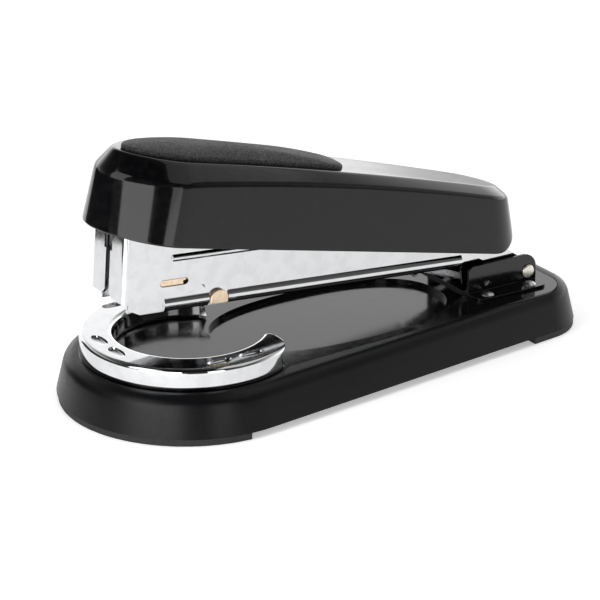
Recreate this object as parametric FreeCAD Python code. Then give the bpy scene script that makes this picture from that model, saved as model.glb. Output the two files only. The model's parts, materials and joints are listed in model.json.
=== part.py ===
import FreeCAD, Part
import math
import os

os.makedirs("parts", exist_ok=True)
V = FreeCAD.Vector
Y_AXIS = V(0, 1, 0)
Z_AXIS = V(0, 0, 1)

# Frame: +X from the anvil to the hinge, +Y across, +Z up, origin under the middle of the base.
# Stations named *_x are millimetres from the anvil's turning axis, unless they belong to the head.
ring_x = -39.05

# Base: rubber pads, hollow skirt, deck plate
pad_height = 1.9
deck_z = 11.7
base_front_radius = 32.9
base_taper_deg = 6.9
base_end_x = 111.0
base_corner_radius = 15.0
skirt_draft = 2.4
skirt_round = 3.6
skirt_wall = 3.5
web_bottom_z = 8.3
deck_bottom_z = 9.3
deck_dish_radius = 27.3
deck_half_front = 22.8
deck_half_rear = 17.6
deck_front_x = 15.0
deck_end_x = 104.5
deck_corner = 9.0
deck_fit = 0.1
tray_mid_x = 41.1
tray_half_length = 32.9
tray_half_width = 18.0
tray_power = 2.4
tray_depth = 1.3
front_pad_end_x = -1.6
rear_pad_start_x = 90.3
base_screw_spots = [(-8.0, 9.0), (-8.0, -9.0), (70.0, 15.6), (70.0, -15.6)]

# Anvil ring, which turns about its own vertical axis
ring_outer = 27.0
ring_inner = 18.8
ring_top_z = 17.3
ring_gap = 0.15
ring_cut_x = 15.0
ring_tip_round = 3.4
ring_bevel = 1.0
clinch_radius = 22.5
clinch_length = 6.5
clinch_width = 2.7
clinch_depth = 0.8
clinch_pairs = ((180, 1.1), (270, 1.1), (90, 5.6))
stud_radius = 1.6
stud_circle = 23.0
stud_angles = (165.0, 195.0)
turn_limit_deg = 90.0
keeper_top_z = 8.1
keeper_thick = 1.0

# Hinge bracket and pin
hinge_x = 97.0
hinge_z = 14.8
pin_radius = 1.5
run_fit = 0.05
bracket_sheet = 0.8
bracket_inner = 8.4
bracket_front_x = 78.0
bracket_rear_x = 99.7
bracket_top_z = 19.6
flange_half = 14.5
rivet_spots = [(x, y) for x in (82.0, 95.5) for y in (-12.0, 12.0)]

# Magazine and head are drawn level, with the hinge pin at 0, 0, and then tilted to the rest pose
rest_pitch_deg = 4.4
rail_bottom = 3.0
rail_top = 9.9
rail_outer = 7.0
rail_inner = 6.45
rail_front = -118.0
rail_floor_end = -19.5
rail_floor = 0.6
bead_radius = 2.4
bead_depth = 1.75
bead_half_height = 1.64
bead_start = -108.5
stud_mid = -93.4
core_outer = 5.6
core_wall = 0.7
core_top = 9.1
core_end = -24.0
staple_half = 6.35
staple_wire = 0.5
staple_top = 9.65
strip_front = -118.2
strip_length = 50.0
pusher_length = 10.0
rod_radius = 1.0
rod_height = 6.6
spring_outer = 2.2

ear_waist = (-6.5, 6.5)
head_outer = 7.8
head_sheet = 0.7
head_front = -120.4
head_bottom = 7.7
head_nose_bottom = 6.4
head_top_front = 26.5
head_web_z = 12.6
head_web_end = -52.0
nose_gap = 1.0
nose_port_half = 1.9
nose_port_z = 18.2
nose_round = 1.2
window_x = (-110.3, -102.4)
window_z = 10.4
window_half = 0.9
handle_pivot = (-14.0, 12.4)
handle_pin_radius = 1.75
blade_front = -119.3
blade_thick = 0.6
blade_bottom = 10.2
hammer_top = 30.0
lever_front = -117.5
press_spring_height = 9.6

# Handle outlines: half-width at x = 30 and its taper, front x, nose length and power,
# rear x, tail length and power, then the height at x = 0 and the fall per millimetre
rim_loop = (14.0, 0.055, -26.8, 15.8, 1.75, 95.5, 10.0, 2.2, 42.6, 0.237)
waist_loop = (13.3, 0.050, -25.6, 17.0, 1.60, 93.6, 10.0, 2.2, 59.0, 0.228)
crown_loop = (8.8, 0.052, -19.4, 14.0, 1.60, 91.6, 10.0, 2.0, 62.6, 0.262)
handle_wall = 2.0
pad_rear_x = 41.0
pad_rise = 2.6
pad_edge = 0.9
boss_x = (8.0, 56.0)
screw_reach = 6.0


def box(x0, x1, y0, y1, z0, z1):
    return Part.makeBox(x1 - x0, y1 - y0, z1 - z0, V(x0, y0, z0))


def post(x, y, z0, z1, radius):
    return Part.makeCylinder(radius, z1 - z0, V(x, y, z0))


def cross_pin(x, z, radius, half):
    return Part.makeCylinder(radius, 2 * half, V(x, -half, z), Y_AXIS)


def side_plate(points, y0, y1):
    """A plate with the given X, Z outline, from y0 to y1."""
    corners = [V(x, y0, z) for x, z in points]
    face = Part.Face(Part.makePolygon(corners + corners[:1]))
    return face.extrude(V(0, y1 - y0, 0))


def both_sides(shape):
    return shape.fuse(shape.mirror(V(0, 0, 0), Y_AXIS))


def round_edges(shape, radius, wanted):
    return shape.makeFillet(radius, [e for e in shape.Edges if wanted(e)])


def edge_at_height(z):
    return lambda e: all(abs(v.Point.z - z) < 1e-4 for v in e.Vertexes)


def upright(edge):
    return abs(edge.Vertexes[0].Point.z - edge.Vertexes[-1].Point.z) > 0.3


def from_ring(shape):
    shape.translate(V(ring_x, 0, 0))
    return shape


def at_rest(shape):
    """Tilts a level magazine or head piece to the rest pose and puts it on the hinge."""
    shape.rotate(V(0, 0, 0), Y_AXIS, rest_pitch_deg)
    shape.translate(V(ring_x + hinge_x, 0, hinge_z))
    return shape


def save(shape, node):
    solid = shape.removeSplitter()
    if not solid.isValid() or not solid.Solids:
        raise ValueError(node + " is not a valid solid")
    solid.exportStep("parts/" + node + ".step")


def base_wire(inset, z):
    """The base's outline: a round front, two sides that taper, and a squared tail."""
    taper = math.radians(base_taper_deg)
    radius = base_front_radius - inset
    corner = base_corner_radius - inset
    end = base_end_x - inset
    nx, ny = math.sin(taper), math.cos(taper)
    cx = base_end_x - base_corner_radius
    cy = (base_front_radius - base_corner_radius - nx * cx) / ny
    start = V(radius * nx, radius * ny, z)
    join = V(cx + corner * nx, cy + corner * ny, z)
    half_way = math.pi / 4 + taper / 2
    mid = V(cx + corner * math.sin(half_way), cy + corner * math.cos(half_way), z)
    tail = V(end, cy, z)

    def low(p):
        return V(p.x, -p.y, p.z)

    edges = [
        Part.Arc(low(start), V(-radius, 0, z), start).toShape(),
        Part.makeLine(start, join),
        Part.Arc(join, mid, tail).toShape(),
        Part.makeLine(tail, low(tail)),
        Part.Arc(low(tail), low(mid), low(join)).toShape(),
        Part.makeLine(low(join), low(start)),
    ]
    return Part.Wire(edges)


def base_prism(inset, z0, z1):
    return Part.Face(base_wire(inset, z0)).extrude(V(0, 0, z1 - z0))


def deck_prism(grow, z0, z1):
    """The deck: a disc under the ring and a tapered tongue behind it."""
    end = deck_end_x + grow
    front, rear = deck_half_front + grow, deck_half_rear + grow
    corners = [V(0, front, z0), V(deck_front_x, front, z0), V(end, rear, z0),
               V(end, -rear, z0), V(deck_front_x, -front, z0), V(0, -front, z0)]
    tongue = Part.Face(Part.makePolygon(corners + corners[:1])).extrude(V(0, 0, z1 - z0))
    tongue = round_edges(tongue, deck_corner, lambda e: upright(e) and e.Vertexes[0].Point.x > end - 1)
    return post(0, 0, z0, z1, deck_dish_radius + grow).fuse(tongue)


def closed_curve(points):
    curve = Part.BSplineCurve()
    curve.interpolate(Points=points, PeriodicFlag=True)
    return Part.Wire([curve.toShape()])


def tray_cutter():
    """An oval whose X and Y shares, each raised to tray_power, add up to one."""
    points = []
    for k in range(40):
        a = 2 * math.pi * k / 40
        c, s = math.cos(a), math.sin(a)
        x = math.copysign(abs(c) ** (2 / tray_power), c) * tray_half_length
        y = math.copysign(abs(s) ** (2 / tray_power), s) * tray_half_width
        points.append(V(tray_mid_x + x, y, deck_z - tray_depth))
    return Part.Face(closed_curve(points)).extrude(V(0, 0, 2 * tray_depth))


def stud_slot():
    """The arc that the ring's studs sweep, through the deck and the web."""
    first = stud_angles[0] - turn_limit_deg - 6
    sweep = stud_angles[1] + turn_limit_deg + 6 - first
    height = deck_z - web_bottom_z + 2
    low = V(0, 0, web_bottom_z - 1)
    outer = Part.makeCylinder(stud_circle + stud_radius + 0.3, height, low, Z_AXIS, sweep)
    inner = Part.makeCylinder(stud_circle - stud_radius - 0.3, height, low)
    slot = outer.cut(inner)
    slot.rotate(V(0, 0, 0), Z_AXIS, first)
    return slot


def base_shell():
    skirt = Part.makeLoft([base_wire(0, pad_height), base_wire(skirt_draft, deck_z)], True, True)
    skirt = round_edges(skirt, skirt_round, edge_at_height(deck_z))
    shell = skirt.cut(base_prism(skirt_wall, pad_height - 1, web_bottom_z))
    shell = shell.cut(deck_prism(deck_fit, deck_bottom_z, deck_z + 1)).cut(stud_slot())
    for x, y in base_screw_spots:
        shell = shell.cut(post(x, y, web_bottom_z - 1, deck_bottom_z + 1, 1.5))
    for x, y in rivet_spots:
        shell = shell.cut(post(x, y, web_bottom_z - 1, deck_bottom_z + 1, 1.0))
    return shell


def deck_plate():
    plate = deck_prism(0, deck_bottom_z, deck_z).cut(tray_cutter()).cut(stud_slot())
    for x, y in base_screw_spots:
        plate = plate.cut(post(x, y, deck_bottom_z - 1, deck_z - 0.8, 1.2))
    for x, y in rivet_spots:
        plate = plate.cut(post(x, y, deck_bottom_z - 1, deck_z + 1, 1.0))
    return plate


def base_screws():
    screws = []
    for x, y in base_screw_spots:
        head = post(x, y, web_bottom_z - 1.4, web_bottom_z, 2.6)
        head = head.cut(box(x - 1.8, x + 1.8, y - 0.3, y + 0.3, web_bottom_z - 2, web_bottom_z - 0.7))
        screws.append(head.fuse(post(x, y, web_bottom_z - 0.1, deck_z - 0.8, 1.2)))
    return Part.makeCompound(screws)


def bracket_rivets():
    rivets = []
    top = deck_z + 0.7
    for x, y in rivet_spots:
        dome = Part.makeSphere(2.4, V(x, y, top - 1.6)).common(post(x, y, top, top + 1, 1.9))
        shank = post(x, y, web_bottom_z - 0.1, top + 0.1, 1.0)
        rivets.append(dome.fuse(shank).fuse(post(x, y, web_bottom_z - 0.7, web_bottom_z, 1.8)))
    return Part.makeCompound(rivets)


def hinge_bracket():
    floor = box(bracket_front_x, bracket_rear_x, -flange_half, flange_half, deck_z, deck_z + 0.7)
    floor = round_edges(floor, 2.0, upright)
    wall = box(bracket_front_x, bracket_rear_x, bracket_inner, bracket_inner + bracket_sheet,
               deck_z, bracket_top_z)
    for end_x, radius in ((bracket_rear_x, 4.0), (bracket_front_x, 1.8)):
        wall = round_edges(wall, radius, lambda e: edge_at_height(bracket_top_z)(e)
                           and all(abs(v.Point.x - end_x) < 1e-4 for v in e.Vertexes))
    bracket = floor.fuse(both_sides(wall))
    bracket = bracket.cut(cross_pin(hinge_x, hinge_z, pin_radius, 20))
    bracket = bracket.cut(cross_pin(84.2, 14.4, 1.1, 20))
    for x, y in rivet_spots:
        bracket = bracket.cut(post(x, y, deck_z - 1, deck_z + 2, 1.0))
    return bracket


def hinge_pin():
    wall = bracket_inner + bracket_sheet
    head = Part.makeCylinder(1.8, 0.55, V(hinge_x, wall, hinge_z), Y_AXIS)
    head = round_edges(head, 0.35, lambda e: len(e.Vertexes) == 1 and e.Vertexes[0].Point.y > wall + 0.5)
    return both_sides(head).fuse(cross_pin(hinge_x, hinge_z, pin_radius, wall + 0.1))


def lift_spring():
    """A bent leaf, riveted to the bracket's floor, that holds the magazine up."""
    low = deck_z + 0.7
    t = 0.5
    points = [(94.0, low), (94.0, low + t), (84.2, low + t), (67.0, 19.4), (64.6, 18.6),
              (64.6, 18.6 - t), (67.0, 19.4 - t), (84.0, low)]
    return side_plate(points, -4.0, 4.0)


def anvil_ring():
    low = deck_z + ring_gap
    ring = post(0, 0, low, ring_top_z, ring_outer).cut(post(0, 0, low, ring_top_z, ring_inner))
    ring = ring.cut(box(ring_cut_x, 40, -40, 40, low, ring_top_z))
    ring = round_edges(ring, ring_tip_round, lambda e: upright(e)
                       and abs(e.Vertexes[0].Point.x - ring_cut_x) < 1e-4)
    ring = ring.makeChamfer(ring_bevel, [e for e in ring.Edges if edge_at_height(ring_top_z)(e)])
    for angle, inner in clinch_pairs:
        for side in (-1, 1):
            groove = clinch_groove(side * (inner + clinch_length / 2))
            groove.rotate(V(0, 0, 0), Z_AXIS, angle)
            ring = ring.cut(groove)
    return ring


def clinch_groove(offset):
    """One oval groove on the +X side of the ring, its middle offset along Y."""
    half = clinch_length / 2 - clinch_width / 2
    low = ring_top_z - clinch_depth
    groove = box(clinch_radius - clinch_width / 2, clinch_radius + clinch_width / 2,
                 offset - half, offset + half, low, ring_top_z + 1)
    for end in (offset - half, offset + half):
        groove = groove.fuse(post(clinch_radius, end, low, ring_top_z + 1, clinch_width / 2))
    return groove


def ring_studs():
    studs = []
    for angle in stud_angles:
        a = math.radians(angle)
        x, y = stud_circle * math.cos(a), stud_circle * math.sin(a)
        low = keeper_top_z - keeper_thick
        shank = post(x, y, low - 0.1, deck_z + ring_gap, stud_radius)
        studs.append(shank.fuse(post(x, y, low - 0.6, low, 2.4)))
    return Part.makeCompound(studs)


def ring_keeper():
    low = V(0, 0, keeper_top_z - keeper_thick)
    keeper = Part.makeCylinder(26.0, keeper_thick, low, Z_AXIS, 80)
    keeper.rotate(V(0, 0, 0), Z_AXIS, 140)
    keeper = keeper.cut(Part.makeCylinder(20.0, keeper_thick, low))
    for angle in stud_angles:
        a = math.radians(angle)
        keeper = keeper.cut(post(stud_circle * math.cos(a), stud_circle * math.sin(a), 5, 10, stud_radius))
    return keeper


def magazine_rail():
    wall = side_plate([(rail_front, 4.4), (-115, rail_bottom), (-20.3, rail_bottom), (-19.4, -1.8),
                       (-2, -2.0), (0.0, -2.2), (1.6, -1.6), (2.2, 0.0), (1.6, 1.6), ear_waist,
                       (-10, rail_top), (rail_front, rail_top)], rail_inner, rail_outer)
    bead = Part.makeCylinder(bead_radius, rail_floor_end - 1 - bead_start,
                             V(bead_start, rail_outer - bead_depth, rail_bottom + bead_half_height),
                             V(1, 0, 0))
    bead = bead.common(box(-125, 5, 0, 10, rail_bottom, 10))
    bead = bead.cut(box(-125, 5, -5, rail_inner, 0, 10))
    bead = bead.cut(box(stud_mid - 2.7, stud_mid + 2.7, rail_outer, 12, 0, 10))
    rail = both_sides(wall.fuse(bead))
    floor = box(rail_front + 3, rail_floor_end, -rail_inner - 0.1, rail_inner + 0.1,
                rail_bottom, rail_bottom + rail_floor)
    return rail.fuse(floor).cut(cross_pin(0, 0, pin_radius + run_fit, 20))


def core_rail():
    low = rail_bottom + rail_floor
    front = rail_front + 3.2
    core = box(front, core_end, -core_outer, core_outer, low, core_top)
    inside = core_outer - core_wall
    return core.cut(box(front - 1, core_end + 1, -inside, inside, low + core_wall, core_top + 1))


def staple_strip():
    end = strip_front + strip_length
    strip = box(strip_front, end, -staple_half, staple_half, staple_top - 6.0, staple_top)
    inside = staple_half - staple_wire
    return strip.cut(box(strip_front - 1, end + 1, -inside, inside, 0, staple_top - staple_wire))


def pusher():
    x0 = strip_front + strip_length + 0.2
    x1 = x0 + pusher_length
    cap = box(x0, x1, -6.3, 6.3, 9.2, 9.8)
    leg = box(x0, x1, 5.75, 6.3, 4.2, 9.3)
    block = box(x0, x1, -4.6, 4.6, 4.6, 9.3)
    hole = Part.makeCylinder(rod_radius + run_fit, pusher_length + 2, V(x0 - 1, 0, rod_height), V(1, 0, 0))
    return cap.fuse(both_sides(leg)).fuse(block).cut(hole)


def guide_rod():
    return Part.makeCylinder(rod_radius, 88.0, V(-113.0, 0, rod_height), V(1, 0, 0))


def spring_stop():
    stop = box(-28.0, -25.0, -4.9, 4.9, rail_bottom + rail_floor + core_wall, 8.9)
    return stop.cut(Part.makeCylinder(rod_radius, 10, V(-30, 0, rod_height), V(1, 0, 0)))


def pusher_spring():
    x0 = strip_front + strip_length + pusher_length + 0.3
    low = V(x0, 0, rod_height)
    tube = Part.makeCylinder(spring_outer, -28.1 - x0, low, V(1, 0, 0))
    return tube.cut(Part.makeCylinder(spring_outer - 0.9, -28.1 - x0, low, V(1, 0, 0)))


def rail_studs():
    """Half-round studs with a flat lower edge, one on each wall of the rail."""
    low = rail_bottom + 0.4
    body = cross_pin(stud_mid, low + 1.0, 2.5, 8.0).cut(box(-110, -80, -9, 9, -5, low + 1.0))
    body = body.fuse(box(stud_mid - 2.5, stud_mid + 2.5, -8.0, 8.0, low, low + 1.0))
    return body.cut(box(-110, -80, -rail_outer, rail_outer, 0, 12))


def head_frame():
    hx, hz = handle_pivot
    plate = side_plate([(head_front, head_nose_bottom), (head_front + 2.2, head_nose_bottom - 0.3),
                        (head_front + 3.2, head_bottom), (-21.0, head_bottom), (-8.0, 1.5), (-1.6, -1.6),
                        (0, -2.3), (1.6, -1.6), (2.3, 0), (1.6, 1.6), ear_waist, (hx + 4.0, hz),
                        (hx + 2.6, hz + 2.8), (hx, hz + 4.0), (-30.0, 17.6), (-111.5, head_top_front),
                        (head_front, head_top_front)],
                       head_outer - head_sheet, head_outer)
    middle = (window_x[0] + window_x[1]) / 2
    reach = (window_x[1] - window_x[0]) / 2 - window_half
    window = box(middle - reach, middle + reach, 0, 20, window_z - window_half, window_z + window_half)
    for end in (middle - reach, middle + reach):
        window = window.fuse(Part.makeCylinder(window_half, 20, V(end, 0, window_z), Y_AXIS))
    notch = Part.makeCylinder(1.3, 20, V(-98.8, 0, head_bottom), Y_AXIS)
    bead = Part.makeCylinder(1.0, 78.0, V(-107.2, head_outer - 0.4, 16.6), V(1, 0, 0))
    bead = bead.cut(box(-125, 5, 0, head_outer - head_sheet, 0, 30))
    plate = plate.cut(window).cut(notch).fuse(bead)
    flange = box(head_front, head_front + 0.8, nose_gap, head_outer, head_nose_bottom, head_top_front)
    flange = flange.cut(side_notch())
    flange = flange.cut(box(head_front - 1, head_front + 2, 0, nose_port_half, nose_port_z, 40))
    web = box(-104.0, head_web_end, -head_outer + 0.2, head_outer - 0.2, head_web_z, head_web_z + 0.8)
    frame = both_sides(plate.fuse(flange)).fuse(web)
    frame = frame.cut(both_sides(nose_corner()))
    frame = frame.cut(cross_pin(0, 0, pin_radius + run_fit, 20))
    return frame.cut(cross_pin(hx, hz, handle_pin_radius, 20))


def nose_corner():
    """What rounding the nose's upright corner takes away."""
    x, y, r = head_front + nose_round, head_outer - nose_round, nose_round
    corner = box(head_front - 1, x, y, head_outer + 1, 0, 40)
    return corner.cut(post(x, y, 0, 40, r))


def side_notch():
    """The slanted cut at the foot of each nose flange, which leaves a V under the gap."""
    corners = [V(head_front - 1, 0, head_nose_bottom - 1), V(head_front - 1, 3.2, head_nose_bottom - 1),
               V(head_front - 1, 0, head_nose_bottom + 2.4)]
    return Part.Face(Part.makePolygon(corners + corners[:1])).extrude(V(4, 0, 0))


def staple_guide():
    """A plate over the front staples; its ends show in the head's two windows."""
    plate = box(-112.0, -82.0, -6.8, 6.8, 10.2, 11.3)
    lug_half = window_half - 0.12
    nose, tail, reach = window_x[0] + window_half, window_x[1] - 1.3, head_outer - 0.15
    lug = box(nose, tail, rail_outer + run_fit, reach, window_z - lug_half, window_z + lug_half)
    lug = lug.fuse(Part.makeCylinder(lug_half, reach - rail_outer - run_fit,
                                     V(nose, rail_outer + run_fit, window_z), Y_AXIS))
    bridge = box(nose, tail, -reach, reach, 10.2, window_z + lug_half)
    lip = box(-95.0, -82.0, -2.5, 2.5, 11.2, head_web_z)
    return plate.fuse(bridge).fuse(both_sides(lug)).fuse(lip)


def handle_pin():
    hx, hz = handle_pivot
    head = Part.makeCylinder(2.7, 0.5, V(hx, head_outer, hz), Y_AXIS)
    return both_sides(head).fuse(cross_pin(hx, hz, handle_pin_radius, head_outer + 0.1))


def press_spring():
    """The coil that lifts the handle, between the head's web and the lever."""
    low = V(-66.0, 0, head_web_z + 0.8)
    tube = Part.makeCylinder(4.2, press_spring_height, low)
    return tube.cut(Part.makeCylinder(3.2, press_spring_height, low))


def driver_blade():
    return box(blade_front, blade_front + blade_thick, -6.3, 6.3, blade_bottom, 26.0)


def hammer():
    back = blade_front + blade_thick
    body = box(back, back + 6.0, -6.3, 6.3, 17.8, 26.0)
    return body.fuse(box(back, back + 5.0, -4.0, 4.0, 25.0, hammer_top))


def press_lever():
    """A channel from the handle pin to the hammer, open below."""
    hx, hz = handle_pivot
    outline = [(hx + 3.5, hz - 1.5), (hx + 3.5, hz + 1.5), (hx + 1.5, hz + 3.6), (-111.0, 32.8),
               (lever_front, 32.8), (lever_front, hammer_top + 0.3), (-111.0, hammer_top + 0.3),
               (-100.0, 26.2), (hx - 3.5, hz - 3.2), (hx + 1.0, hz - 3.4)]
    lever = side_plate(outline, -6.3, 6.3)
    hollow = [(hx + 9, hz - 9), (hx + 9, hz + 0.8), (-100.0, 29.7), (-108.0, 29.6), (-108.0, 20.0),
              (hx, hz - 9)]
    lever = lever.cut(side_plate(hollow, -5.3, 5.3))
    for x in boss_x:
        lever = lever.cut(level_post(x, 20, 70, 1.4))
    return lever.cut(cross_pin(hx, hz, handle_pin_radius + run_fit, 20))


def level_post(x, z0, z1, radius):
    """A post that stands upright at rest, at a station from the ring, as it is in the level frame."""
    shape = post(x - hinge_x, 0, z0 - hinge_z, z1 - hinge_z, radius)
    shape.rotate(V(0, 0, 0), Y_AXIS, -rest_pitch_deg)
    return shape


def handle_wire(loop, inset, drop):
    """One level of the handle: a rounded nose and tail joined by sides that draw together."""
    half, taper, front, nose, nose_power, rear, tail, tail_power, z0, fall = loop
    front += inset
    rear -= inset
    half -= inset
    upper = []
    steps = 9
    for k in range(1, steps + 1):
        a = math.pi / 2 * k / steps
        x = front + nose * (1 - math.cos(a) ** (2 / nose_power))
        upper.append((x, math.sin(a) ** (2 / nose_power)))
    for k in range(1, 5):
        upper.append((front + nose + (rear - tail - front - nose) * k / 5, 1.0))
    for k in range(steps, 0, -1):
        a = math.pi / 2 * k / steps
        x = rear - tail * (1 - math.cos(a) ** (2 / tail_power))
        upper.append((x, math.sin(a) ** (2 / tail_power)))
    row = [(x, share * (half - taper * (x - 30))) for x, share in upper]
    outline = [(front, 0.0)] + row + [(rear, 0.0)] + [(x, -y) for x, y in reversed(row)]
    return closed_curve([V(x, y, z0 - fall * x - drop) for x, y in outline])


def handle_shell():
    outer = Part.makeLoft([handle_wire(rim_loop, 0, 0), handle_wire(waist_loop, 0, 0)], True, True)
    crown = Part.makeLoft([handle_wire(waist_loop, 0, 0), handle_wire(crown_loop, 0, 0)], True, True)
    inner = Part.makeLoft([handle_wire(rim_loop, handle_wall, 3), handle_wire(waist_loop, handle_wall, 1.0)],
                          True, True)
    shell = outer.fuse(crown).cut(inner)
    tail = side_plate([(84, 14), (110, 14), (110, 27.5), (94.5, 26.5), (90.0, 21.5)], -20, 20)
    shell = shell.cut(tail).cut(box(76.0, 90.8, -8.45, 8.45, 14, 34))
    for x in boss_x:
        boss = post(x, 0, 20, 70, 3.2).common(outer).cut(lever_space())
        shell = shell.fuse(boss).cut(post(x, 0, 20, lever_top(x) + screw_reach, 1.2))
    return shell


def lever_space():
    """Everything below the lever's top face, as the shell's bosses must stop there."""
    lines = [(hinge_x + 8, 0), (hinge_x + 8, lever_top(hinge_x + 8)), (-40, lever_top(-40)), (-40, 0)]
    return side_plate(lines, -20, 20)


def lever_top(x):
    """Height of the lever's top face above a station x, at rest."""
    pitch = math.radians(rest_pitch_deg)
    ends = []
    hx, hz = handle_pivot
    for lx, lz in ((hx + 1.5, hz + 3.6), (-111.0, 32.8)):
        ends.append((hinge_x + lx * math.cos(pitch) + lz * math.sin(pitch),
                     hinge_z - lx * math.sin(pitch) + lz * math.cos(pitch)))
    (xa, za), (xb, zb) = ends
    return za + (zb - za) * (x - xa) / (xb - xa)


def handle_screws():
    screws = []
    for x in boss_x:
        z = lever_top(x)
        screws.append(post(x, 0, z - 2.4, z + screw_reach, 1.2).fuse(post(x, 0, z - 3.6, z - 2.0, 2.6)))
    return Part.makeCompound(screws)


def handle_pad():
    """A soft moulded pad on the front of the crown, with a curved rear edge."""
    foot = handle_wire(crown_loop, pad_edge, 0)
    shoulder = handle_wire(crown_loop, pad_edge + 0.6, -pad_rise * 0.6)
    top = handle_wire(crown_loop, pad_edge + 3.0, -pad_rise)
    pad = Part.makeLoft([foot, shoulder], True, True).fuse(Part.makeLoft([shoulder, top], True, True))
    return pad.common(post(pad_rear_x - 70, 0, 30, 90, 70))


RING_NODES = {
    "base_shell": base_shell, "deck_plate": deck_plate, "base_screws": base_screws,
    "front_pad": lambda: base_prism(0.35, 0, pad_height).common(box(-60, front_pad_end_x, -60, 60, -1, 5)),
    "rear_pad": lambda: base_prism(0.1, 0, pad_height).common(box(rear_pad_start_x, 130, -60, 60, -1, 5)),
    "hinge_bracket": hinge_bracket, "bracket_rivets": bracket_rivets, "hinge_pin": hinge_pin,
    "lift_spring": lift_spring, "anvil_ring": anvil_ring, "ring_studs": ring_studs,
    "ring_keeper": ring_keeper,
    "handle_shell": handle_shell, "handle_screws": handle_screws, "handle_pad": handle_pad,
}
LEVEL_NODES = {
    "magazine_rail": magazine_rail, "core_rail": core_rail, "staple_strip": staple_strip,
    "guide_rod": guide_rod, "spring_stop": spring_stop, "rail_studs": rail_studs,
    "pusher": pusher, "pusher_spring": pusher_spring, "head_frame": head_frame,
    "staple_guide": staple_guide, "handle_pin": handle_pin, "press_spring": press_spring,
    "driver_blade": driver_blade, "hammer": hammer, "press_lever": press_lever,
}

for node, make in RING_NODES.items():
    save(from_ring(make()), node)
for node, make in LEVEL_NODES.items():
    save(at_rest(make()), node)
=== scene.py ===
import json
import math

import bmesh
import bpy
import numpy as np
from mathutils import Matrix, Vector

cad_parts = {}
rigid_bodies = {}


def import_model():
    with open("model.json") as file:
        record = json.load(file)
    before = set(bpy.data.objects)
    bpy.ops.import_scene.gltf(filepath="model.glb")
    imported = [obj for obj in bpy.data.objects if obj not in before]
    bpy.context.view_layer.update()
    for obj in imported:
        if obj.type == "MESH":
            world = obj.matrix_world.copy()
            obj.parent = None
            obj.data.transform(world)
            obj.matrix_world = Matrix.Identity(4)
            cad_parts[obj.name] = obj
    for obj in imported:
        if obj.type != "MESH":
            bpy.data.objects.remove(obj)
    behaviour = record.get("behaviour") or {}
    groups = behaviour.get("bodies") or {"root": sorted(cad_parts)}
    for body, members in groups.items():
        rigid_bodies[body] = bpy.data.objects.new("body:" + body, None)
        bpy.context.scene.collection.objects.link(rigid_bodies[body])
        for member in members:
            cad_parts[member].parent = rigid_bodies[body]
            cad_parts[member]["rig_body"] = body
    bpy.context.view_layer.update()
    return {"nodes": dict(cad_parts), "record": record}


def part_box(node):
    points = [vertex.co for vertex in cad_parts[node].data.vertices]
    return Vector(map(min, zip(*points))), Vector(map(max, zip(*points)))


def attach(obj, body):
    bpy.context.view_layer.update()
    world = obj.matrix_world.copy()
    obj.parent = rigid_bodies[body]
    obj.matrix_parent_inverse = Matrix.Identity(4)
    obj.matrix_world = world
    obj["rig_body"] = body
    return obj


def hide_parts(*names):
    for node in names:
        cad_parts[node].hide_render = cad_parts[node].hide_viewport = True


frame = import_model()
nodes = frame["nodes"]
mm = 0.001
ringOuter = 27.0
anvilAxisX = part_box("anvil_ring")[0].x + ringOuter * mm  # the ring's outer radius behind its front
print("frame loaded,", len(nodes), "nodes")


# Lengths are in mm from the anvil's axis, and are turned to metres when a mesh is made.

def placed(points):
    return np.asarray(points, float) * mm + np.array([anvilAxisX, 0, 0])


def blendTo(a, b, t):
    return a + (b - a) * t


longestReach = 0.48  # of a run, so that two roundings on it don't meet
sameVertex = 2e-6
thinnestEdge = 1e-7


def softStack(keys, reaches, steps=5):
    # Key rings joined in order. At each inner ring the path leaves the straight run at a reach before it
    # and joins the next run a reach after it, along a quadratic curve with the ring as its middle control.
    rows = [keys[0]]
    for before, corner, after, reach in zip(keys, keys[1:], keys[2:], reaches):
        back = np.linalg.norm(before - corner, axis=1, keepdims=True) + 1e-9
        ahead = np.linalg.norm(after - corner, axis=1, keepdims=True) + 1e-9
        start = blendTo(corner, before, np.minimum(longestReach, reach / back))
        end = blendTo(corner, after, np.minimum(longestReach, reach / ahead))
        t = np.linspace(0, 1, steps)[:, None, None]
        rows.extend((1 - t) ** 2 * start + 2 * t * (1 - t) * corner + t ** 2 * end)
    rows.append(keys[-1])
    return np.array(rows)


def meshFrom(name, points, faces, sharp=35):
    mesh = bpy.data.meshes.new(name)
    mesh.from_pydata(np.asarray(points).reshape(-1, 3).tolist(), [], np.asarray(faces).tolist())
    return cleaned(name, mesh, sharp)


def cleaned(name, mesh, sharp=35, flatten=0.0):
    # Doubles merged, flat regions joined when asked, faces turned outwards, and smooth below the sharp angle.
    work = bmesh.new()
    work.from_mesh(mesh)
    bmesh.ops.remove_doubles(work, verts=work.verts, dist=sameVertex)
    bmesh.ops.dissolve_degenerate(work, edges=work.edges, dist=thinnestEdge)
    if flatten:
        bmesh.ops.dissolve_limit(work, angle_limit=math.radians(flatten), verts=work.verts, edges=work.edges)
    bmesh.ops.recalc_face_normals(work, faces=work.faces)
    work.to_mesh(mesh)
    work.free()
    mesh.shade_smooth()
    mesh.set_sharp_from_angle(angle=math.radians(sharp))
    piece = bpy.data.objects.new(name, mesh)
    bpy.context.scene.collection.objects.link(piece)
    return piece


def ringFaces(rows, count):
    i = np.arange(rows - 1)[:, None] * count
    j = np.arange(count)[None, :]
    k = (j + 1) % count
    return np.stack([i + j, i + k, i + count + k, i + count + j], axis=-1).reshape(-1, 4)


def stackPiece(name, rings, sharp=35):
    # A stack of closed rings; its first and last ring have shrunk to a point.
    rings = np.asarray(rings)
    return meshFrom(name, placed(rings), ringFaces(*rings.shape[:2]), sharp)


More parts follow.
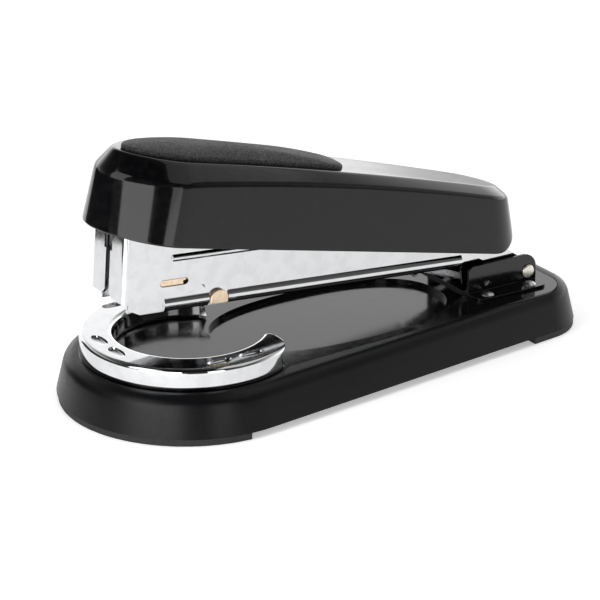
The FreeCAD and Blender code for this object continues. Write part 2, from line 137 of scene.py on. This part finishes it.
def installed(piece, node, material):
    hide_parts(node)
    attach(piece, nodes[node]["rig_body"])
    piece.data.materials.clear()
    piece.data.materials.append(material)
    return piece


slotOf = {part["node"]: part["material_slot"] for part in frame["record"]["subparts"]}


def newGroup(name, inputs, outputs):
    group = bpy.data.node_groups.new(name, "ShaderNodeTree")
    for label, kind, value in inputs:
        group.interface.new_socket(label, in_out="INPUT", socket_type=kind).default_value = value
    for label, kind in outputs:
        group.interface.new_socket(label, in_out="OUTPUT", socket_type=kind)
    return group, group.nodes.new("NodeGroupInput"), group.nodes.new("NodeGroupOutput")


def makeHandling():
    # Roughness from least to most, over broad smudges multiplied by fine dust.
    group, given, made = newGroup("handling", [
        ("Vector", "NodeSocketVector", (0, 0, 0)), ("Smudge Scale", "NodeSocketFloat", 60.0),
        ("Fine Scale", "NodeSocketFloat", 900.0), ("Least", "NodeSocketFloat", 0.1),
        ("Most", "NodeSocketFloat", 0.2)],
        [("Roughness", "NodeSocketFloat")])
    add, link = group.nodes.new, group.links.new
    broad, fine, mixed, span = (add("ShaderNodeTexNoise"), add("ShaderNodeTexNoise"),
                                add("ShaderNodeMath"), add("ShaderNodeMapRange"))
    broad.inputs["Detail"].default_value = 5
    fine.inputs["Detail"].default_value = 2
    for noise, scale in ((broad, "Smudge Scale"), (fine, "Fine Scale")):
        link(given.outputs["Vector"], noise.inputs["Vector"])
        link(given.outputs[scale], noise.inputs["Scale"])
    mixed.operation = "MULTIPLY"
    link(broad.outputs["Fac"], mixed.inputs[0])
    link(fine.outputs["Fac"], mixed.inputs[1])
    span.inputs["From Min"].default_value = 0.12
    span.inputs["From Max"].default_value = 0.42
    link(mixed.outputs[0], span.inputs["Value"])
    link(given.outputs["Least"], span.inputs["To Min"])
    link(given.outputs["Most"], span.inputs["To Max"])
    link(span.outputs["Result"], made.inputs["Roughness"])
    return group


def makeGrain():
    # A height for a Bump node: rounded cells, as moulded or painted skins have, with noise over them.
    group, given, made = newGroup("grain", [
        ("Vector", "NodeSocketVector", (0, 0, 0)), ("Cell Scale", "NodeSocketFloat", 1500.0),
        ("Noise Scale", "NodeSocketFloat", 3000.0), ("Cells", "NodeSocketFloat", 0.5)],
        [("Height", "NodeSocketFloat"), ("Speck", "NodeSocketFloat")])
    add, link = group.nodes.new, group.links.new
    cells, noise, mixed = add("ShaderNodeTexVoronoi"), add("ShaderNodeTexNoise"), add("ShaderNodeMix")
    cells.feature = "SMOOTH_F1"
    for texture, scale in ((cells, "Cell Scale"), (noise, "Noise Scale")):
        link(given.outputs["Vector"], texture.inputs["Vector"])
        link(given.outputs[scale], texture.inputs["Scale"])
    link(given.outputs["Cells"], mixed.inputs["Factor"])
    link(noise.outputs["Fac"], mixed.inputs["A"])
    link(cells.outputs["Distance"], mixed.inputs["B"])
    link(mixed.outputs["Result"], made.inputs["Height"])
    link(noise.outputs["Fac"], made.inputs["Speck"])
    return group


handlingGroup, grainGroup = makeHandling(), makeGrain()


def finish(name, colour, second, roughness, metallic=0.0, stretch=(1, 1, 1), cells=1500.0, noise=3000.0,
           share=0.4, bump=0.02, depth=0.00005, speck=(0.45, 0.6), specular=0.5):
    # Colour to second over the specks, roughness from least to most over the smudges, and a grained skin.
    material = bpy.data.materials.new(name)
    material.use_nodes = True
    tree = material.node_tree
    add, link = tree.nodes.new, tree.links.new
    shader = tree.nodes["Principled BSDF"]
    where, turn = add("ShaderNodeTexCoord"), add("ShaderNodeMapping")
    handling, grain, tint = add("ShaderNodeGroup"), add("ShaderNodeGroup"), add("ShaderNodeMix")
    relief, ramp = add("ShaderNodeBump"), add("ShaderNodeMapRange")
    handling.node_tree, grain.node_tree = handlingGroup, grainGroup
    link(where.outputs["Object"], turn.inputs["Vector"])
    turn.inputs["Scale"].default_value = stretch
    for group in (handling, grain):
        link(turn.outputs["Vector"], group.inputs["Vector"])
    handling.inputs["Least"].default_value, handling.inputs["Most"].default_value = roughness
    grain.inputs["Cell Scale"].default_value = cells
    grain.inputs["Noise Scale"].default_value = noise
    grain.inputs["Cells"].default_value = share
    tint.data_type = "RGBA"
    tint.inputs["A"].default_value = (*colour, 1)
    tint.inputs["B"].default_value = (*second, 1)
    ramp.inputs["From Min"].default_value, ramp.inputs["From Max"].default_value = speck
    link(grain.outputs["Speck"], ramp.inputs["Value"])
    link(ramp.outputs["Result"], tint.inputs["Factor"])
    link(tint.outputs["Result"], shader.inputs["Base Color"])
    link(handling.outputs["Roughness"], shader.inputs["Roughness"])
    relief.inputs["Strength"].default_value = bump
    relief.inputs["Distance"].default_value = depth
    link(grain.outputs["Height"], relief.inputs["Height"])
    link(relief.outputs["Normal"], shader.inputs["Normal"])
    shader.inputs["Metallic"].default_value = metallic
    shader.inputs["Specular IOR Level"].default_value = specular
    return material


finishes = {
    "satin_shell": finish("satinShell", (0.0022, 0.0023, 0.0028), (0.004, 0.0042, 0.005), (0.30, 0.42),
                          cells=1600, noise=2600, share=0.6, bump=0.18, depth=0.00004, specular=0.22),
    "gloss_enamel": finish("glossEnamel", (0.003, 0.003, 0.0032), (0.005, 0.005, 0.0055), (0.09, 0.18),
                           cells=420, noise=700, share=0.5, bump=0.06, depth=0.00008),
    "gloss_handle": finish("glossHandle", (0.0025, 0.0025, 0.003), (0.0045, 0.0045, 0.005), (0.07, 0.15),
                           cells=300, noise=500, share=0.4, bump=0.03, depth=0.00008, specular=0.36),
    "soft_pad": finish("softPad", (0.010, 0.0105, 0.010), (0.085, 0.087, 0.083), (0.55, 0.75), noise=2600,
                       share=0.45, bump=0.6, depth=0.00016, speck=(0.44, 0.74)),
    "black_rubber": finish("blackRubber", (0.008, 0.008, 0.008), (0.014, 0.014, 0.014), (0.60, 0.78),
                           cells=1400, noise=2400, bump=0.4, depth=0.00008),
    "bright_chrome": finish("brightChrome", (0.67, 0.675, 0.684), (0.63, 0.635, 0.643), (0.035, 0.10),
                            metallic=1.0, cells=90, noise=260, share=0.2, bump=0.03, depth=0.00006),
    "zinc_steel": finish("zincSteel", (0.58, 0.59, 0.60), (0.50, 0.51, 0.53), (0.26, 0.40), metallic=1.0,
                         stretch=(0.12, 1, 1), cells=1200, noise=2600, share=0.1, bump=0.12, depth=0.00004),
    "yellow_zinc": finish("yellowZinc", (0.86, 0.70, 0.53), (0.80, 0.62, 0.43), (0.24, 0.36), metallic=0.85,
                          cells=500, noise=1200, share=0.3, bump=0.06, depth=0.00004),
    "pale_pin": finish("palePin", (0.88, 0.84, 0.76), (0.82, 0.77, 0.68), (0.24, 0.36), metallic=0.85,
                       cells=700, noise=1500, share=0.3, bump=0.08, depth=0.00004),
    "spring_steel": finish("springSteel", (0.40, 0.40, 0.41), (0.31, 0.31, 0.32), (0.22, 0.36), metallic=1.0,
                           cells=900, noise=2200, share=0.2, bump=0.08, depth=0.00003),
    "staple_wire": finish("stapleWire", (0.70, 0.71, 0.72), (0.60, 0.61, 0.63), (0.18, 0.30), metallic=1.0,
                          stretch=(1, 0.15, 1), cells=900, noise=2400, share=0.2, bump=0.08, depth=0.00003),
    "dark_steel": finish("darkSteel", (0.020, 0.020, 0.022), (0.035, 0.034, 0.034), (0.28, 0.42),
                         metallic=0.7, cells=900, noise=2200, share=0.3, bump=0.12, depth=0.00004),
}
print("finishes made,", len(finishes))


handleSizes = {
    # half-width at station 30, its taper, front, nose length and power, rear, tail length and power
    "rim": (14.0, 0.055, -26.8, 15.8, 1.75, 95.5, 10.0, 2.2),
    "waist": (13.3, 0.050, -23.8, 17.0, 1.60, 93.6, 10.0, 2.2),
    "crown": (8.8, 0.052, -19.4, 14.0, 1.60, 91.6, 10.0, 2.0),
    "innerRim": (12.8, 0.055, -24.9, 15.8, 1.75, 94.3, 8.0, 3.4),
    "innerWaist": (11.9, 0.050, -22.2, 17.0, 1.60, 92.0, 8.0, 3.0),
    "edge": 0.55,        # rounding of the rim
    "ridge": 1.0,        # rounding of the waist and crown edges
    "tailLift": 7.0,     # how far the rim curls up at the rear
    "tailStart": 85.5,
    "middle": 33,        # the station that the top and the ceiling close on
    "ceilingDrop": 1.6,  # how far the ceiling lies under the waist
}
handleOutlines = ("rim", "waist", "crown", "innerRim", "innerWaist")
taperStation = 30  # where an outline has its stated half-width


def handleOutline(half, taper, front, nose, nosePower, rear, tail, tailPower, noseSteps=22, sideSteps=30,
                  tailSteps=14):
    # A nose and a tail whose X and Y shares, raised to a power, add up to one, joined by straight tapering
    # sides.
    a = np.linspace(0, math.pi / 2, noseSteps, endpoint=False)
    noseX = front + nose * (1 - np.cos(a) ** (2 / nosePower))
    noseY = np.sin(a) ** (2 / nosePower)
    sideX = np.linspace(front + nose, rear - tail, sideSteps, endpoint=False)
    b = np.linspace(math.pi / 2, 0, tailSteps)
    tailX = rear - tail * (1 - np.maximum(np.cos(b), 0) ** (2 / tailPower))
    tailY = np.sin(b) ** (2 / tailPower)
    x = np.concatenate([noseX, sideX, tailX])
    y = np.concatenate([noseY, np.ones(sideSteps), tailY]) * (half - taper * (x - taperStation))
    return np.concatenate([x, x[-2:0:-1]]), np.concatenate([y, -y[-2:0:-1]])


def rimHeight(x):
    # A falling line, that curls up past the tail's start with the square of the distance.
    past = np.maximum(0, x - handleSizes["tailStart"]) / 10
    return 42.6 - 0.237 * x + handleSizes["tailLift"] * past ** 2


def waistHeight(x):
    # A falling line less the square of the distance from the taper station.
    return 59.2 - 0.226 * x - 0.0007 * (x - taperStation) ** 2


def crownHeight(x):
    # A steeper falling line, less a smaller square.
    return 62.8 - 0.26 * x - 0.0004 * (x - taperStation) ** 2


def levelRing(outline, height, drop=0.0):
    x, y = outline
    return np.stack([x, y, height(x) - drop], axis=1)


def shrunk(ring, share, height, middle, drop=0.0):
    # The ring drawn in towards a middle station, and set back on the height's surface.
    x = middle + (ring[:, 0] - middle) * share
    return np.stack([x, ring[:, 1] * share, height(x) - drop], axis=1)


def makeHandle():
    # Rim, waist and crown rings on three sloping surfaces, joined by a rounded wall, and closed on a middle.
    middle, ceilingDrop = handleSizes["middle"], handleSizes["ceilingDrop"]
    outlines = {key: handleOutline(*handleSizes[key]) for key in handleOutlines}
    rim, waist = levelRing(outlines["rim"], rimHeight), levelRing(outlines["waist"], waistHeight)
    crown = levelRing(outlines["crown"], crownHeight)
    innerRim = levelRing(outlines["innerRim"], rimHeight)
    innerWaist = levelRing(outlines["innerWaist"], waistHeight, ceilingDrop)
    ceiling = [shrunk(innerWaist, share, waistHeight, middle, ceilingDrop) for share in (0, 0.3, 0.6, 0.85)]
    top = [shrunk(crown, share, crownHeight, middle) for share in (0.92, 0.75, 0.55, 0.35, 0.17, 0)]
    edge, ridge = handleSizes["edge"], handleSizes["ridge"]
    shell = softStack([ceiling[-1], innerWaist, innerRim, rim, waist, crown, top[0]],
                      [1.5, edge, edge, ridge, ridge], 7)
    rows = np.concatenate([np.array(ceiling[:-1]), shell, np.array(top[1:])])
    return stackPiece("handleShell", rows, 60)


installed(makeHandle(), "handle_shell", finishes["gloss_handle"])

padSizes = {"rear": 43.0, "tail": 7.0, "tailPower": 3.0, "inset": 2.2, "wall": 1.0, "rise": 2.9,
            "middle": 10.0, "sunk": 0.3, "domePower": 2.6}


def makePad():
    # A moulded pad: a short upright wall, a rounded shoulder, then a dome
    # that rises as one minus a power of the share.
    half, taper, front, nose, power = handleSizes["crown"][:5]
    inset, wall, sunk, middle = (padSizes[k] for k in ("inset", "wall", "sunk", "middle"))
    outline = handleOutline(half - inset, taper, front + inset, nose, power, padSizes["rear"],
                            padSizes["tail"], padSizes["tailPower"])
    foot = levelRing(outline, crownHeight, sunk)
    lip = levelRing(outline, crownHeight, -wall)
    seat = foot + np.array([0, 0, sunk])
    shares = np.concatenate([np.linspace(0.94, 0.4, 14), [0.25, 0.1, 0]])
    dome = [shrunk(foot, share, crownHeight, middle,
                   -wall - (padSizes["rise"] - wall) * (1 - share ** padSizes["domePower"]))
            for share in shares]
    under = [shrunk(foot, share, crownHeight, middle, sunk) for share in (0, 0.5)]
    shell = softStack([under[-1], foot, seat, lip, dome[0]], [0.2, 0.15, 0.7], 5)
    return stackPiece("handlePad", np.concatenate([np.array(under[:-1]), shell, np.array(dome[1:])]), 70)


pad = installed(makePad(), "handle_pad", finishes["soft_pad"])
print("handle and pad made")


ringSizes = {
    "outer": ringOuter, "inner": 18.8, "low": 11.85, "top": 17.3, "cut": 15.0, "tipRound": 3.4, "bevel": 1.1,
    "grooveRadius": 22.5, "grooveLength": 6.5, "grooveWidth": 2.7, "grooveDepth": 0.8,
    "groovePower": 2.4, "dishPower": 0.3, "footInset": 0.3, "arcSteps": 620,
    "grooves": ((180, 1.1), (270, 1.1), (90, 5.6)),  # direction in degrees, and where a pair starts
}


def grooveDepth(x, y):
    # An oval dish at each place: its depth falls from the middle to nothing, steeply near the edge.
    depth = np.zeros_like(x)
    for direction, start in ringSizes["grooves"]:
        a = math.radians(direction)
        out = x * math.cos(a) + y * math.sin(a) - ringSizes["grooveRadius"]
        along = np.abs(-x * math.sin(a) + y * math.cos(a)) - start - ringSizes["grooveLength"] / 2
        near = x * math.cos(a) + y * math.sin(a) > 0
        away = (np.abs(2 * out / ringSizes["grooveWidth"]) ** ringSizes["groovePower"]
                + np.abs(2 * along / ringSizes["grooveLength"]) ** ringSizes["groovePower"])
        dish = np.clip(1 - away, 0, 1) ** ringSizes["dishPower"] * ringSizes["grooveDepth"]
        depth = np.maximum(depth, np.where(near, dish, 0))
    return depth


def makeRing():
    # A closed section of radius and height, carried round from one tip to the other. At each radius the arc
    # ends where it meets the cut, less the tip's rounding.
    outer, inner, low, top = (ringSizes[k] for k in ("outer", "inner", "low", "top"))
    bevel, tipRound, footInset = (ringSizes[k] for k in ("bevel", "tipRound", "footInset"))
    corner = np.linspace(0, math.pi / 2, 8)
    across = np.linspace(inner + bevel, outer - bevel, 60)[1:-1]
    sides = np.linspace(low + footInset, top - bevel, 6)[:-1]
    radius = np.concatenate([
        [inner + footInset], np.full(sides.shape, inner), inner + bevel * (1 - np.cos(corner)), across,
        outer - bevel * (1 - np.sin(corner)), np.full(sides.shape, outer), [outer - footInset]])
    height = np.concatenate([
        [low], sides, top - bevel * (1 - np.sin(corner)), np.full(across.shape, top),
        top - bevel * (1 - np.cos(corner)), sides[::-1], [low]])
    edge = np.minimum(radius - inner, outer - radius)
    short = np.maximum(0, tipRound - edge)
    end = ringSizes["cut"] - (tipRound - np.sqrt(np.maximum(0, tipRound ** 2 - short ** 2)))
    first = np.arccos(end / radius)
    share = np.linspace(0, 1, ringSizes["arcSteps"])[:, None]
    angle = first + (2 * math.pi - 2 * first) * share
    x, y = radius * np.cos(angle), radius * np.sin(angle)
    onTop = height > top - 0.01
    z = height - grooveDepth(x, y) * onTop
    body = np.stack([x, y, z], axis=2)

    def tip(ring, direction):
        middle = ring.mean(axis=0)
        rows = [blendTo(ring, middle, pull) + np.array([push, 0, 0]) for pull, push in direction]
        return np.array(rows)

    closing = ((1.0, 0.3), (0.5, 0.3), (0.09, 0.3), (0.03, 0.2))
    rows = np.concatenate([tip(body[0], closing), body, tip(body[-1], closing[::-1])])
    return stackPiece("anvilRing", rows, 50)


installed(makeRing(), "anvil_ring", finishes["bright_chrome"])
print("ring made")


# Folded and moulded pieces keep their drawn shape. Each has a bevel's width in mm and its segments.
softEdges = {
    "base_shell": (0.25, 3), "deck_plate": (0.30, 3), "hinge_bracket": (0.22, 3), "head_frame": (0.16, 3),
    "magazine_rail": (0.12, 2), "rail_studs": (0.20, 2), "staple_guide": (0.15, 2), "front_pad": (0.25, 2),
    "rear_pad": (0.25, 2), "hammer": (0.25, 2), "press_lever": (0.20, 2), "core_rail": (0.12, 2),
    "pusher": (0.15, 2), "spring_stop": (0.2, 2), "driver_blade": (0.08, 2), "lift_spring": (0.1, 2),
    "ring_keeper": (0.1, 2), "bracket_rivets": (0.12, 2), "hinge_pin": (0.12, 2), "handle_pin": (0.15, 2),
    "base_screws": (0.12, 2), "handle_screws": (0.12, 2), "ring_studs": (0.1, 2), "guide_rod": (0.15, 2),
}


def camelName(node):
    first, *rest = node.split("_")
    return first + "".join(word.capitalize() for word in rest)


edgeAngles = {"sharp": 30, "flat": 0.4, "bevelled": 32}


def softened(node):
    width, segments = softEdges[node]
    piece = cleaned(camelName(node), nodes[node].data.copy(), edgeAngles["sharp"], edgeAngles["flat"])
    bevel = piece.modifiers.new("edges", "BEVEL")
    bevel.width = width * mm
    bevel.segments = segments
    bevel.limit_method = "ANGLE"
    bevel.angle_limit = math.radians(edgeAngles["bevelled"])
    bevel.harden_normals = True
    bevel.use_clamp_overlap = True
    return installed(piece, node, finishes[slotOf[node]])


for node in softEdges:
    softened(node)
print("edges softened")


wireSizes = {"wire": 0.35, "turns": 22, "mean": 1.75, "pressWire": 0.45, "pressTurns": 4.5, "pressMean": 3.7,
             "sides": 8, "perTurn": 28, "outer": 2.2, "pressOuter": 4.2}
railTilt = math.radians(4.4)
along = np.array([math.cos(railTilt), 0, -math.sin(railTilt)])
upright = np.array([math.sin(railTilt), 0, math.cos(railTilt)])
sideways = np.array([0, 1.0, 0])


def coil(name, start, axis, length, mean, wire, turns):
    # A circle of wire carried along a helix about an axis. Both ends are drawn in to a point.
    count = int(turns * wireSizes["perTurn"])
    t = np.linspace(0, 1, count)[:, None]
    first = np.cross(axis, sideways)
    spin = 2 * math.pi * turns * t
    out = np.cos(spin) * first + np.sin(spin) * sideways
    line = start + axis * (wire + (length - 2 * wire) * t) + out * mean
    ahead = np.gradient(line, axis=0)
    ahead /= np.linalg.norm(ahead, axis=1, keepdims=True)
    third = np.cross(ahead, out)
    a = np.linspace(0, 2 * math.pi, wireSizes["sides"], endpoint=False)[None, :, None]
    tube = line[:, None] + wire * (np.cos(a) * out[:, None] + np.sin(a) * third[:, None])
    ends = [np.repeat(line[k][None], wireSizes["sides"], 0)[None] for k in (0, -1)]
    rows = np.concatenate([ends[0], tube, ends[1]])
    return meshFrom(name, rows, ringFaces(*rows.shape[:2]), 70)


def middleOf(node):
    low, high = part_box(node)
    return np.array((low + high) / 2)


pusherLow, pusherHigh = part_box("pusher_spring")
pusherRun = (pusherHigh.x - pusherLow.x) - 2 * wireSizes["outer"] * mm * math.sin(railTilt)
pusherRun /= math.cos(railTilt)
coilStart = middleOf("pusher_spring") - along * pusherRun / 2
installed(coil("pusherSpring", coilStart, along, pusherRun, wireSizes["mean"] * mm, wireSizes["wire"] * mm,
               wireSizes["turns"]), "pusher_spring", finishes["spring_steel"])

pressLow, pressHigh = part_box("press_spring")
pressRun = (pressHigh.z - pressLow.z) - 2 * wireSizes["pressOuter"] * mm * math.sin(railTilt)
pressRun /= math.cos(railTilt)
installed(coil("pressSpring", middleOf("press_spring") - upright * pressRun / 2, upright, pressRun,
               wireSizes["pressMean"] * mm, wireSizes["pressWire"] * mm, wireSizes["pressTurns"]),
          "press_spring", finishes["spring_steel"])

stapleSizes = {"half": 6.35, "wire": 0.5, "height": 6.0, "length": 50.0, "count": 96, "gap": 0.03,
               "corner": 0.3, "innerCorner": 0.1}


def makeStaples():
    # One staple is a flat wire bent into a channel: an outline of two legs and a crown, given a thickness
    # along the rail, then repeated with a hair's gap.
    half, wire, height = (stapleSizes[k] for k in ("half", "wire", "height"))
    corner, fold = stapleSizes["corner"], stapleSizes["innerCorner"]
    outline = np.array([(-half, -height), (-half, -corner), (-half + corner, 0), (half - corner, 0),
                        (half, -corner), (half, -height), (half - wire, -height), (half - wire, -wire - fold),
                        (half - wire - fold, -wire), (-half + wire + fold, -wire),
                        (-half + wire, -wire - fold), (-half + wire, -height)])
    pitch = stapleSizes["length"] / stapleSizes["count"]
    top = middleOf("staple_strip") + upright * height / 2 * mm - along * stapleSizes["length"] / 2 * mm
    first = np.arange(stapleSizes["count"])[:, None] * pitch
    ends = np.concatenate([first, first + pitch - stapleSizes["gap"]], axis=1)
    points = (top + ends[:, :, None, None] * mm * along
              + outline[:, 0][None, None, :, None] * mm * sideways
              + outline[:, 1][None, None, :, None] * mm * upright)
    count = len(outline)
    j = np.arange(count)
    k = (j + 1) % count
    walls = np.stack([j, k, k + count, j + count], axis=1)
    halfCount = count // 2
    strip = np.arange(halfCount - 1)
    caps = np.stack([strip, count - 1 - strip, count - 2 - strip, strip + 1], axis=1)
    faces = np.concatenate([walls, caps, caps[:, ::-1] + count])
    allFaces = (faces[None] + np.arange(stapleSizes["count"])[:, None, None] * 2 * count).reshape(-1, 4)
    return meshFrom("stapleStrip", points, allFaces, 35)


installed(makeStaples(), "staple_strip", finishes["staple_wire"])
print("springs and staples made")


studio = {"floorHalf": 6.0, "floorGlow": 0.40, "worldFront": 0.16, "worldBehind": 2.4, "azimuth": -32.40,
          "elevation": 21.89, "distance": 0.660, "target": (-0.0019, 0.0076, 0.0138), "lens": 155.1}
skyLevels = ((0.12, 0.92), (0.40, 0.52), (0.60, 0.16), (0.75, 0.04))  # how high, and how bright


def makeFloor():
    half = studio["floorHalf"]
    mesh = bpy.data.meshes.new("floor")
    corners = [(-half, -half, 0), (half, -half, 0), (half, half, 0), (-half, half, 0)]
    mesh.from_pydata(corners, [], [(0, 1, 2, 3)])
    floor = bpy.data.objects.new("floor", mesh)
    bpy.context.scene.collection.objects.link(floor)
    paper = bpy.data.materials.new("palePaper")
    paper.use_nodes = True
    shader = paper.node_tree.nodes["Principled BSDF"]
    shader.inputs["Base Color"].default_value = (0.92, 0.92, 0.92, 1)
    shader.inputs["Roughness"].default_value = 0.9
    shader.inputs["Specular IOR Level"].default_value = 0.1
    shader.inputs["Emission Color"].default_value = (1, 1, 1, 1)
    shader.inputs["Emission Strength"].default_value = studio["floorGlow"]
    floor.data.materials.append(paper)


def softBox(name, spot, facing, width, height, radiance, glossy=True):
    # A rectangle of even light at a spot, turned to face a point, and not itself seen by the camera.
    data = bpy.data.lights.new(name, "AREA")
    data.shape = "RECTANGLE"
    data.size, data.size_y, data.energy = width, height, radiance * math.pi * width * height
    lamp = bpy.data.objects.new(name, data)
    lamp.location = spot
    lamp.rotation_mode = "QUATERNION"
    lamp.rotation_quaternion = (Vector(spot) - Vector(facing)).to_track_quat("Z", "Y")
    lamp.visible_camera = False
    lamp.visible_glossy = glossy
    bpy.context.scene.collection.objects.link(lamp)


def darkCard(name, spot, facing, width, height):
    # A matt black card that only shows in reflections, to give the gloss black its dark parts.
    corners = [(-width / 2, -height / 2, 0), (width / 2, -height / 2, 0), (width / 2, height / 2, 0),
               (-width / 2, height / 2, 0)]
    mesh = bpy.data.meshes.new(name)
    mesh.from_pydata(corners, [], [(0, 1, 2, 3)])
    card = bpy.data.objects.new(name, mesh)
    card.location = spot
    card.rotation_mode = "QUATERNION"
    card.rotation_quaternion = (Vector(spot) - Vector(facing)).to_track_quat("Z", "Y")
    card.visible_camera = card.visible_diffuse = card.visible_shadow = False
    black = bpy.data.materials.new(name)
    black.use_nodes = True
    black.node_tree.nodes["Principled BSDF"].inputs["Base Color"].default_value = (0.004, 0.004, 0.004, 1)
    card.data.materials.append(black)
    bpy.context.scene.collection.objects.link(card)


def makeWorld():
    # A white sweep behind the object, dimmer overhead and towards the camera's side of the room.
    world = bpy.data.worlds.new("studio")
    world.use_nodes = True
    tree = world.node_tree
    add, link = tree.nodes.new, tree.links.new
    where, split, rise = add("ShaderNodeTexCoord"), add("ShaderNodeSeparateXYZ"), add("ShaderNodeValToRGB")
    behind, share, mixed = add("ShaderNodeVectorMath"), add("ShaderNodeMapRange"), add("ShaderNodeMath")
    link(where.outputs["Generated"], split.inputs[0])
    link(split.outputs["Z"], rise.inputs["Fac"])
    stops = rise.color_ramp.elements
    stops[0].position, stops[0].color = 0.0, (1, 1, 1, 1)
    stops[1].position, stops[1].color = 1.0, (0.03, 0.03, 0.032, 1)
    for position, level in skyLevels:
        stops.new(position).color = (level, level, level, 1)
    behind.operation = "DOT_PRODUCT"
    link(where.outputs["Generated"], behind.inputs[0])
    a = math.radians(studio["azimuth"])
    behind.inputs[1].default_value = (-math.sin(a), math.cos(a), 0)
    share.interpolation_type = "SMOOTHSTEP"
    for label, value in (("From Min", -0.35), ("From Max", 0.45), ("To Min", studio["worldFront"]),
                         ("To Max", studio["worldBehind"])):
        share.inputs[label].default_value = value
    link(behind.outputs["Value"], share.inputs["Value"])
    mixed.operation = "MULTIPLY"
    link(rise.outputs["Color"], mixed.inputs[0])
    link(share.outputs["Result"], mixed.inputs[1])
    tree.nodes["Background"].inputs["Color"].default_value = (1, 1, 1, 1)
    link(mixed.outputs[0], tree.nodes["Background"].inputs["Strength"])
    bpy.context.scene.world = world


def makeCamera():
    data = bpy.data.cameras.new("camera")
    data.lens, data.sensor_width = studio["lens"], 36
    data.clip_start, data.clip_end = 0.01, 50
    camera = bpy.data.objects.new("camera", data)
    a, e = math.radians(studio["azimuth"]), math.radians(studio["elevation"])
    back = Vector((math.sin(a) * math.cos(e), -math.cos(a) * math.cos(e), math.sin(e)))
    camera.location = Vector(studio["target"]) + back * studio["distance"]
    camera.rotation_mode = "QUATERNION"
    camera.rotation_quaternion = (-back).to_track_quat("-Z", "Y")
    bpy.context.scene.collection.objects.link(camera)
    bpy.context.scene.camera = camera


makeFloor()
makeWorld()
softBox("overhead", (0, 0, 1.6), (0, 0, 0), 1.6, 1.6, 1.2, glossy=False)
softBox("left", (-1.1, -0.1, 0.75), (-0.05, 0, 0.03), 0.5, 1.1, 2.2)
softBox("stripFront", (-0.150, -0.072, 0.035), (-0.06, 0, 0.045), 0.095, 0.11, 3.4)
softBox("stripNear", (-0.052, -0.150, 0.035), (-0.045, 0, 0.045), 0.042, 0.11, 1.8)
softBox("above", (0.41, -0.16, 0.81), (-0.04, 0, 0.055), 1.1, 0.5, 0.7)
darkCard("flagLeft", (-0.170, 0.090, 0.045), (-0.06, 0, 0.045), 0.24, 0.09)
darkCard("flagFront", (-0.098, -0.140, 0.045), (-0.055, 0, 0.045), 0.050, 0.09)
makeCamera()
print("studio ready")

bpy.context.scene.view_settings.view_transform = "Standard"
